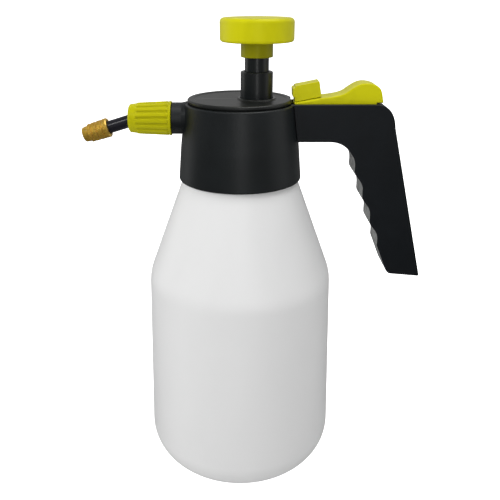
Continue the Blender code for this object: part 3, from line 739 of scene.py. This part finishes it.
class SPRAYER_OT_head(Operator):
    """Turn the screw-on head with its skirt, deck and outlet boss"""
    bl_idname = "sprayer.head"
    bl_label = "Pump head"

    def execute(self, context):
        s = context.scene.sprayer_head
        low, high = node_box("head_housing")
        skirt_z, skirt_r, rim_z = low.z, high.y, high.z
        wall, hem = s.wall / MM, s.hem / MM
        rim_r = skirt_r - 6.8
        mid_r, mid_z, top_r, top_z = skirt_r - 1.7, skirt_z + 21.7, skirt_r - 4.0, skirt_z + 41.2
        edge_r = top_r - (rim_z - top_z) * (mid_r - top_r) / (top_z - mid_z)
        deck_low, deck_top = 228.5, 231.8
        corners = [(0, deck_low), (29.0, deck_low, 0.5), (29.0, 213.0, 0.4), (31.6, 213.0, 0.4),
                   (31.6, deck_low, 0.6), (mid_r - wall - 0.8, deck_low, 0.8),
                   (mid_r - wall, mid_z, 20.0), (skirt_r - wall + 0.2, skirt_z, 0.6),
                   (skirt_r, skirt_z, hem), (mid_r, mid_z, 90.0), (top_r, top_z, 60.0),
                   (edge_r, rim_z, 1.3), (rim_r, rim_z, 0.3), (rim_r - 0.4, rim_z - 0.9, 0.3),
                   (rim_r - wall, rim_z - 0.9, 0.4), (top_r - wall, top_z - 1.0, 3.0),
                   (mid_r - wall - 1.2, deck_top, 1.0), (0, deck_top)]
        head = to_object("head_shell", turned_mesh(rounded(corners), 160))
        pump_low, pump_high = node_box("pump_cylinder")
        pump_x = (pump_low.x + pump_high.x) / 2
        combine(head, bar_mesh(13.4, 20.0, 64), "DIFFERENCE", at(pump_x, 0, 220.0))
        combine(head, bar_mesh(3.4, 20.0, 32), "DIFFERENCE", at(-14.0, 0, 220.0))
        combine(head, box_mesh((28.0, -8.5, deck_top + 0.2), (40.0, 8.5, 252.0)), "DIFFERENCE")
        spigot = -low.x
        boss = rounded([(0, 33.3), (10.6, 33.3), (9.9, 36.2, 1.5), (9.9, spigot - 11.6, 0.9),
                        (9.2, spigot - 11.6), (7.6, spigot - 11.6, 0.4), (7.6, spigot, 0.8),
                        (3.2, spigot, 0.4), (3.2, 37.0), (0, 37.0)])
        outward = along((0, 0, outlet_height()), (-1, 0, 0))
        combine(head, turned_mesh(boss, 96), "UNION", outward)
        combine(head, bar_mesh(1.3, 6.9, 24), "UNION", along((-27.8, 0, outlet_height()), (-1, 0, 0)))
        material = black_finish("satin_black_head", s.colour, s.roughness, 0.00003)
        finish_piece(head, material, "head", "black_plastic", "head_housing", crease=28.0)
        return {"FINISHED"}


class SPRAYER_OT_top_cap(Operator):
    """Turn the round cap with its rolled rim, the shadow groove under it and the guide's lip"""
    bl_idname = "sprayer.top_cap"
    bl_label = "Top cap"

    def execute(self, context):
        s = context.scene.sprayer_head
        low, high = node_box("top_cap")
        radius, top = high.y, high.z
        under = low.z + 2.0
        groove = s.groove / MM
        spigot = radius - 5.3
        corners = [(0, under), (spigot, under, 0.3), (spigot, under - 1.9, 0.3),
                   (spigot + 1.9, under - 1.9, 0.3), (spigot + 1.9, under, 0.3),
                   (radius - 1.5, under, 0.2), (radius - 1.5, under + groove, 0.3),
                   (radius, under + groove, 0.7), (radius, top, 1.15), (radius - 3.6, top, 1.4),
                   (radius - 4.6, top - 0.45, 0.8), (0, top - 0.45)]
        cap = to_object("cap_disc", turned_mesh(rounded(corners), 160))
        guide_low, guide_high = node_box("pump_guide")
        pump_x = (guide_low.x + guide_high.x) / 2
        lip = rounded([(9.0, top - 1.5), (13.0, top - 1.5), (13.0, top - 0.45, 0.2),
                       (12.2, top - 0.45, 0.4), (11.8, top + 0.35, 0.45), (9.0, top + 0.35)])
        combine(cap, turned_mesh(lip, 96), "UNION", at(pump_x, 0, 0))
        combine(cap, bar_mesh(10.4, 20.0, 96), "DIFFERENCE", at(pump_x, 0, 240.0))
        combine(cap, box_mesh((26.0, -8.5, 240.0), (36.0, 8.5, under + 0.4)), "DIFFERENCE")
        combine(cap, box_mesh((30.9, -6.6, under + 1.2), (40.0, 6.6, top + 2.0)), "DIFFERENCE")
        material = black_finish("satin_black_cap", s.cap_colour, s.roughness - 0.04, 0.000035, 20.0)
        finish_piece(cap, material, "head", "black_plastic", "top_cap", crease=28.0)
        return {"FINISHED"}


class SPRAYER_OT_pump(Operator):
    """Turn the polished pump guide and the rod that slides in it"""
    bl_idname = "sprayer.pump"
    bl_label = "Guide and rod"

    def execute(self, context):
        s = context.scene.sprayer_pump
        low, high = node_box("pump_guide")
        axis = at((low.x + high.x) / 2, 0, 0)
        seat, edge = high.z - 32.1, s.guide_edge / MM
        corners = [(7.8, low.z, 0.4), (11.1, low.z, 0.5), (11.1, seat, 0.3), (15.5, seat, 0.4),
                   (15.5, seat + 2.4, 0.5), (10.0, seat + 2.4, 0.8), (10.0, high.z, edge),
                   (7.8, high.z, 0.4)]
        guide = to_object("guide_sleeve", turned_mesh(rounded(corners, closed=True), 96), axis)
        finish_piece(guide, gloss_finish("polished_guide", s.colour, s.roughness + 0.05),
                     "head", "black_plastic", "pump_guide")
        low, high = node_box("pump_rod")
        corners = [(5.9, low.z, 0.2), (7.45, low.z, 0.3), (7.45, high.z, 0.3), (5.9, high.z, 0.2)]
        rod = to_object("rod_tube", turned_mesh(rounded(corners, closed=True), 96), axis)
        finish_piece(rod, gloss_finish("polished_rod", s.colour, s.roughness, 30.0),
                     "plunger", "rod_plastic", "pump_rod")
        return {"FINISHED"}


class SPRAYER_OT_knob(Operator):
    """Turn the pump knob with its collar"""
    bl_idname = "sprayer.knob"
    bl_label = "Pump knob"

    def execute(self, context):
        s = context.scene.sprayer_pump
        low, high = node_box("pump_knob")
        radius, top = high.y + 0.4, high.z
        plate = top - 14.2
        corners = [(9.85, low.z, 0.5), (9.85, plate, 0.5), (radius, plate, s.knob_low / MM),
                   (radius, top, s.knob_top / MM), (0, top), (0, 292.0), (7.75, 292.0, 0.4),
                   (7.75, low.z, 0.4)]
        profile = rounded(corners, closed=True)
        knob = to_object("knob_body", turned_mesh(profile), at((low.x + high.x) / 2, 0, 0))
        # painted shadow on the knob's neck below its plate
        material = lime_finish(context.scene.sprayer_lime, "lime_knob", painted_shade_below=plate)
        finish_piece(knob, material, "plunger", "lime_plastic", "pump_knob")
        return {"FINISHED"}


class SPRAYER_OT_handle(Operator):
    """Shape the pistol handle: hollow arm, rounded back and scalloped finger grip"""
    bl_idname = "sprayer.handle"
    bl_label = "Handle"

    def execute(self, context):
        s = context.scene.sprayer_handle
        low, high = node_box("handle")
        half, arm_top, foot = high.y, high.z, low.z
        arm_low = arm_top - 23.3
        shoulder = bend((86.0, arm_top - 0.2), (94.5, arm_top - 2.1), (95.6, arm_top - 14.6), 12)
        corners = [shoulder[-1], (high.x, foot + 0.8, 0.8), (high.x - 0.6, foot, 0.5),
                   (97.4, foot + 1.8, 4.0), (95.3, foot + 5.5)]
        outline = [(28.0, arm_top), (84.0, arm_top)] + shoulder[:-1] + rounded(corners)
        first, stride = Vector((66.2, arm_low - 3.4)), Vector((5.72, -16.65))
        across = Vector((-stride.y, stride.x)).normalized()
        parts, depth = 14, s.scallop_depth / MM
        count = s.scallops
        scale = 4 / count
        for i in range(count * parts - 1, 3, -1):
            t = (i % parts) / parts
            sink = depth * math.sin(math.pi * t) ** 1.6
            point = first + stride * scale * (i / parts) + across * sink
            outline.append(tuple(point))
        outline += bend(outline[-1], (64.6, arm_low), (55.5, arm_low), 12)[1:]
        outline.append((28.0, arm_low))
        handle = to_object("handle_moulding", slab_mesh(outline, half, s.rounding / MM, 4))
        head_low, head_high = node_box("head_housing")
        _, cap_high = node_box("top_cap")
        skirt, base, rim = head_high.y, head_low.z, head_high.z
        clear = cap_high.y + 0.4
        wall = [(0, 195.0), (skirt - 0.5, base), (skirt + 0.4, base + 1.2),
                (skirt - 1.3, base + 21.7), (skirt - 3.6, base + 41.2), (skirt - 4.2, rim - 1.0),
                (clear, rim + 0.1), (clear, 256.0), (0, 256.0)]
        combine(handle, turned_mesh(wall, 160), "DIFFERENCE")
        combine(handle, box_mesh((20.0, -8.5, arm_top - 19.2), (84.6, 8.5, 262.0)), "DIFFERENCE")
        hollow = [(75.5, 216.0), (94.5, 216.0), (113.5, 130.0), (102.0, 130.0), (92.5, 155.0)]
        combine(handle, slab_mesh(rounded([(*p, 3.0) for p in hollow], closed=True), half - 2.6),
                "DIFFERENCE")
        pin_low, pin_high = node_box("lever_pin")
        middle = (pin_low + pin_high) / 2
        combine(handle, bar_mesh(2.3, 2 * half - 1.6), "DIFFERENCE",
                along((middle.x, -half + 0.8, middle.z), (0, 1, 0)))
        material = grip_finish(s, arm_low)
        finish_piece(handle, material, "head", "handle_plastic", "handle", crease=30.0)
        return {"FINISHED"}


class SPRAYER_OT_trigger(Operator):
    """Shape the thumb lever and its sliding lock"""
    bl_idname = "sprayer.trigger"
    bl_label = "Trigger and lock"

    def execute(self, context):
        s = context.scene.sprayer_lime
        low, high = node_box("trigger_lever")
        half, front, tail = high.y, low.x, high.x
        sole = 246.9
        ramp = [(front, 249.2), (41.0, 250.6), (50.0, 252.2), (57.5, 253.2), (63.5, 254.8),
                (68.0, 257.8), (72.3, 260.3), (77.0, high.z), (82.6, 260.0), (86.0, 256.8),
                (tail, 249.2)]
        outline = smooth_route(ramp, 8) + [(83.8, 249.2), (83.8, 239.6), (75.2, 239.6),
                                           (73.0, sole), (front, sole)]
        lever = to_object("lever_arm", slab_mesh(outline, half, s.lever_edge / MM, 4))
        pin_low, pin_high = node_box("lever_pin")
        middle = (pin_low + pin_high) / 2
        combine(lever, bar_mesh(2.3, 30.0), "DIFFERENCE", along((middle.x, -15.0, middle.z), (0, 1, 0)))
        rise = math.tan(math.radians(11.3))

        def lift(x, height):
            """Point at a height above the lever's sloping front."""
            return x, 249.2 + height + (x - front) * rise

        groove = [lift(35.5, -1.6), lift(50.5, -1.6), lift(50.5, 3.0), lift(35.5, 3.0)]
        combine(lever, slab_mesh(groove, 2.0), "DIFFERENCE")
        finish_piece(lever, lime_finish(s, "lime_lever", 11.0), "trigger", "lime_plastic",
                     "trigger_lever", crease=30.0)
        side = [lift(33.6, 0.2), lift(50.0, 0.2), lift(48.4, 9.9), lift(33.9, 9.9),
                lift(33.7, 8.9), lift(32.2, 8.9), lift(32.4, 3.3), lift(33.6, 3.3)]
        block = slab_mesh(rounded([(*p, 0.35) for p in side], closed=True), 6.0, 0.5, 3)
        lock = to_object("lock_block", block)
        foot = [lift(39.5, 0.8), lift(46.0, 0.8), lift(46.0, -1.3), lift(39.5, -1.3)]
        combine(lock, slab_mesh(foot, 1.7), "UNION")
        finish_piece(lock, lime_finish(s, "lime_lock", 17.0), "lock", "lime_plastic",
                     "trigger_lock", crease=30.0)
        return {"FINISHED"}


class SPRAYER_OT_union_nut(Operator):
    """Mould the flared union nut with its lengthwise ribs and rear rim"""
    bl_idname = "sprayer.union_nut"
    bl_label = "Union nut"

    def execute(self, context):
        s = context.scene.sprayer_lime
        low, high = node_box("union_nut")
        back, front = -high.x, -low.x
        ribs = s.ribs
        rib_start, rib_end, tip = back + 1.5, back + 22.0, front - 1.9
        corners = [(7.0, 67.6, 0.5), (7.7, 65.0, 1.0), (8.0, 60.0, 0.6),
                   (8.0, back, 0.4), (10.75, back, 0.5), (10.75, back + 1.3, 0.3),
                   (10.3, back + 1.5, 0.3), (9.35, rib_end, 8.0), (9.1, tip - 3.0, 6.0),
                   (8.95, tip - 0.9, 1.3), (7.7, tip, 0.6), (7.0, tip, 0.3)]
        profile = []
        points = rounded(corners, closed=True)
        for (r0, z0), (r1, z1) in zip(points, points[1:] + points[:1]):
            pieces = max(1, round(abs(z1 - z0) / 0.6)) if min(r0, r1) > 8.4 else 1
            for k in range(pieces):
                profile.append((r0 + (r1 - r0) * k / pieces, z0 + (z1 - z0) * k / pieces))

        def ease(value, start, end):
            t = min(max((value - start) / (end - start), 0.0), 1.0)
            return t * t * (3 - 2 * t)

        def relief(angle, r, z):
            """Height of the ribs, with narrow valleys, fading out at both ends."""
            if r < 8.5:
                return 0.0
            wave = 0.5 + 0.5 * math.cos(ribs * angle)
            shape = ease(wave, 0.10, 0.62)
            window = ease(z, rib_start, rib_start + 0.5) * (1 - ease(z, rib_end - 1.2, rib_end))
            return window * (0.85 * shape - 0.42)

        nut = to_object("nut_ribbed", relief_mesh(profile, 20 * ribs, relief),
                        along((0, 0, outlet_height()), (-1, 0, 0)))
        # the nut gets painted shade in its rib valleys
        finish_piece(nut, lime_finish(s, "lime_nut", 23.0, 0.84, hollow_shade=0.75), "nut",
                     "lime_plastic", "union_nut", crease=40.0)
        return {"FINISHED"}


class SPRAYER_OT_lance(Operator):
    """Build the bent lance: seat flange, ball and polished tube"""
    bl_idname = "sprayer.lance"
    bl_label = "Lance"

    def execute(self, context):
        s = context.scene.sprayer_nozzle
        _, high = node_box("lance")
        start, direction = lance_axis(s)
        flange, centre, ball = -high.x, -start.x, 7.2
        outward = along((0, 0, start.z), (-1, 0, 0))
        profile = rounded([(0, flange), (7.2, flange, 0.3), (7.2, flange + 1.6, 0.3),
                           (6.2, flange + 2.4, 0.5), (5.9, centre - 4.1)])
        for k in range(25):
            angle = math.radians(-35 + 125 * k / 24)
            profile.append((ball * math.cos(angle) if k < 24 else 0, centre + ball * math.sin(angle)))
        lance = to_object("lance_tube", turned_mesh(profile, SIDES_SMALL), outward)
        tube = along(start, direction)
        stem = rounded([(0, 0), (4.0, 0), (4.0, 30.5, 0.5), (2.6, 30.5, 0.3), (1.6, 29.4), (0, 29.4)])
        combine(lance, turned_mesh(stem, 48), "UNION", tube)
        combine(lance, bar_mesh(1.6, 40.0, 24), "DIFFERENCE", tube)
        finish_piece(lance, gloss_finish("polished_lance", s.lance_colour, 0.16, 50.0), "lance",
                     "lance_plastic", "lance", crease=35.0)
        return {"FINISHED"}


class SPRAYER_OT_nozzle(Operator):
    """Turn the knurled brass nozzle cap"""
    bl_idname = "sprayer.nozzle"
    bl_label = "Brass nozzle"

    def execute(self, context):
        s = context.scene.sprayer_nozzle
        start, direction = lance_axis(s)
        rear, tip, radius = 19.6, 36.5, 5.85
        corners = [(4.35, rear + 1.6), (4.5, rear, 0.2), (5.35, rear, 0.3), (radius, rear + 0.6, 0.3)]
        for groove in (rear + 3.4, rear + 7.0, rear + 10.6):
            corners += [(radius, groove - 0.5, 0.1), (radius - 0.55, groove - 0.25, 0.1),
                        (radius - 0.55, groove + 0.25, 0.1), (radius, groove + 0.5, 0.1)]
        corners += [(radius, tip - 4.3, 0.25), (5.05, tip - 3.8, 0.2), (4.9, tip - 2.0, 0.2),
                    (4.6, tip - 0.4, 0.4), (4.0, tip, 0.3), (1.6, tip, 0.3), (0.8, tip - 0.8),
                    (0.8, tip - 2.2), (4.35, tip - 3.0)]
        points = rounded(corners)
        profile = []
        for (r0, z0), (r1, z1) in zip(points, points[1:] + points[:1]):
            pieces = max(1, round(abs(z1 - z0) / 0.5)) if min(r0, r1) > 5.7 else 1
            for k in range(pieces):
                profile.append((r0 + (r1 - r0) * k / pieces, z0 + (z1 - z0) * k / pieces))
        teeth, depth = s.teeth, s.knurl / MM

        def relief(angle, r, z):
            """Crossed knurl on the full-width bands, over a slight taper towards the tip."""
            if r < radius - 0.6 or z > tip - 4.0:
                return 0.0
            taper = 0.40 - 0.55 * (z - rear) / (tip - rear)
            if r < radius - 0.05:
                return taper
            lean = 0.22 * (z - rear)
            first = abs(math.sin(teeth * angle / 2 + lean * 2.2))
            second = abs(math.sin(teeth * angle / 2 - lean * 2.2))
            return taper - depth * (1 - min(first, second))

        nozzle = to_object("nozzle_brass", relief_mesh(profile, 288, relief), along(start, direction))
        finish_piece(nozzle, brass_finish(s), "nozzle", "brass", "nozzle_cap", crease=40.0)
        return {"FINISHED"}


class SPRAYER_OT_inner_parts(Operator):
    """Finish the pieces held inside: seals, hoses, dip tube, valve, piston, pin and spring"""
    bl_idname = "sprayer.inner_parts"
    bl_label = "Inner parts"

    def execute(self, context):
        rubber, steel = rubber_finish(), steel_finish()
        natural = natural_finish("natural_polypropylene", (0.72, 0.74, 0.74), 0.25)
        hose = natural_finish("clear_hose", (0.75, 0.77, 0.77), 0.6)
        black = black_finish("satin_black_inner", context.scene.sprayer_head.colour, 0.45, 0.00003, 60.0)
        by_slot = {"rubber_black": rubber, "steel": steel, "clear_plastic": natural,
                   "hose_plastic": hose, "black_plastic": black, "brass": brass_finish(
                       context.scene.sprayer_nozzle)}
        for part in frame["record"]["subparts"]:
            node = frame["nodes"].get(part["node"])
            if node is not None and not node.hide_render:
                refinish(part["node"], by_slot.get(part["material_slot"], black))
        low, high = node_box("valve_spring")
        middle, tall = (low + high) / 2, high.z - low.z
        wire, turns = 0.35, 4.5
        coil = coil_mesh((high.x - low.x) / 2 - wire, wire, turns, tall)
        spring = to_object("spring_coil", coil, at(middle.x, middle.y, low.z))
        finish_piece(spring, steel, "head", "steel", "valve_spring", crease=60.0)
        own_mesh(spring)
        return {"FINISHED"}


# ---------------------------------------------------------------- stage

def area_light(name, power, size, place, aim):
    """Rectangular softbox turned towards a point."""
    light = bpy.data.lights.new(name, "AREA")
    light.energy = power
    light.shape = "RECTANGLE"
    light.size, light.size_y = size
    obj = bpy.data.objects.new(name, light)
    bpy.context.scene.collection.objects.link(obj)
    turn = (Vector(aim) - Vector(place)).to_track_quat("-Z", "Y")
    obj.matrix_world = Matrix.Translation(place) @ turn.to_matrix().to_4x4()
    return obj


def backdrop(name, material, shown, dome=False):
    """Disc or dome round the studio that is either seen, or hidden and lights matt surfaces."""
    bm = bmesh.new()
    if dome:
        bmesh.ops.create_uvsphere(bm, u_segments=48, v_segments=24, radius=STUDIO_REACH)
    else:
        bmesh.ops.create_circle(bm, cap_ends=True, segments=96, radius=STUDIO_REACH)
    mesh = bpy.data.meshes.new(name)
    bm.to_mesh(mesh)
    bm.free()
    mesh.materials.append(material)
    obj = bpy.data.objects.new(name, mesh)
    obj.location.z = -STUDIO_DROP
    obj.visible_camera = shown
    obj.visible_diffuse = not shown
    obj.visible_glossy = False
    obj.visible_transmission = False
    obj.visible_shadow = False
    bpy.context.scene.collection.objects.link(obj)


class SPRAYER_OT_stage(Operator):
    """Set the pale floor, the soft lights and the camera"""
    bl_idname = "sprayer.stage"
    bl_label = "Studio"

    def execute(self, context):
        s = context.scene.sprayer_stage
        scene = context.scene
        pale = Finish("pale_backdrop", Base_Color=(0.9, 0.9, 0.9), Roughness=0.9,
                      Emission_Color=(1.0, 1.0, 1.0), Emission_Strength=1.1).material
        glow = Finish("table_glow", Base_Color=(0.0, 0.0, 0.0), Roughness=1.0,
                      Emission_Color=(1.0, 1.0, 1.0), Emission_Strength=s.bounce).material
        backdrop("studio_floor", pale, shown=True)
        backdrop("studio_dome", pale, shown=True, dome=True)
        backdrop("studio_bounce", glow, shown=False)
        world = bpy.data.worlds.new("studio_world")
        world.use_nodes = True
        sky = Nodes(world.node_tree)
        direction = sky.node("ShaderNodeTexCoord", output="Generated")
        up = sky.node("ShaderNodeSeparateXYZ", sockets={0: direction}, output="Z")
        back = sky.node("ShaderNodeSeparateXYZ", sockets={0: direction}, output="Y")
        strength = (s.ambient * (0.35 + 0.65 * sky.step(up, -0.5, 0.2))
                    + s.glow * sky.step(back, 0.2, 0.9) * sky.step(up, -0.3, 0.2))
        sky.feed(world.node_tree.nodes["Background"].inputs["Color"], (1.0, 1.0, 1.0))
        sky.feed(world.node_tree.nodes["Background"].inputs["Strength"], strength)
        scene.world = world
        middle = (0.0, 0.0, 0.17)
        key = area_light("key_light", s.key, (0.9, 0.9), (-1.1, -0.6, 0.8), middle)
        key.visible_glossy = False
        area_light("strip_light", s.strip, (0.26, 0.9), (0.05, -1.2, 0.45), middle)
        area_light("top_light", s.top, (1.0, 0.8), (0.3, -0.1, 1.3), middle)
        area_light("glint_light", s.glint, (0.2, 0.2), (-0.55, -0.75, 0.95), middle)
        left = area_light("left_rim_light", s.rim, (0.5, 1.2), (-1.1, 0.45, 0.4), middle)
        right = area_light("right_rim_light", s.rim, (0.8, 1.2), (1.1, -0.15, 0.4), middle)
        left.visible_diffuse = False
        right.visible_diffuse = False
        camera = bpy.data.cameras.new("studio_camera")
        camera.sensor_width = 36.0
        camera.lens = s.lens
        camera.shift_x, camera.shift_y = s.shift_x, s.shift_y
        camera.clip_start = 0.01
        camera.clip_end = 200.0
        eye = bpy.data.objects.new("studio_camera", camera)
        eye.location = s.camera_place
        eye.rotation_euler = (math.pi / 2 - s.camera_tilt, 0.0, 0.0)
        scene.collection.objects.link(eye)
        scene.camera = eye
        scene.view_settings.view_transform = "Standard"
        return {"FINISHED"}


# ---------------------------------------------------------------- add-on

STEPS = (SPRAYER_OT_bottle, SPRAYER_OT_head, SPRAYER_OT_top_cap, SPRAYER_OT_pump,
         SPRAYER_OT_knob, SPRAYER_OT_handle, SPRAYER_OT_trigger, SPRAYER_OT_union_nut,
         SPRAYER_OT_lance, SPRAYER_OT_nozzle, SPRAYER_OT_inner_parts, SPRAYER_OT_stage)


class SPRAYER_PT_panel(Panel):
    """Sidebar panel that lists the sprayer's pieces and their settings"""
    bl_idname = "SPRAYER_PT_panel"
    bl_label = "Pump Sprayer"
    bl_space_type = "VIEW_3D"
    bl_region_type = "UI"
    bl_category = "Sprayer"

    def draw(self, context):
        column = self.layout.column(align=True)
        for step in STEPS:
            column.operator(step.bl_idname, text=step.bl_label)
        for attribute, group in SETTINGS.items():
            box = self.layout.box()
            for prop in group.__annotations__:
                box.prop(getattr(context.scene, attribute), prop)


CLASSES = (*SETTINGS.values(), *STEPS, SPRAYER_PT_panel)


def register():
    for cls in CLASSES:
        bpy.utils.register_class(cls)
    for attribute, group in SETTINGS.items():
        setattr(bpy.types.Scene, attribute, PointerProperty(type=group))


def unregister():
    for attribute in SETTINGS:
        delattr(bpy.types.Scene, attribute)
    for cls in reversed(CLASSES):
        bpy.utils.unregister_class(cls)


def main():
    register()
    for step in STEPS:
        group, name = step.bl_idname.split(".")
        getattr(getattr(bpy.ops, group), name)()


if __name__ == "__main__":
    main()
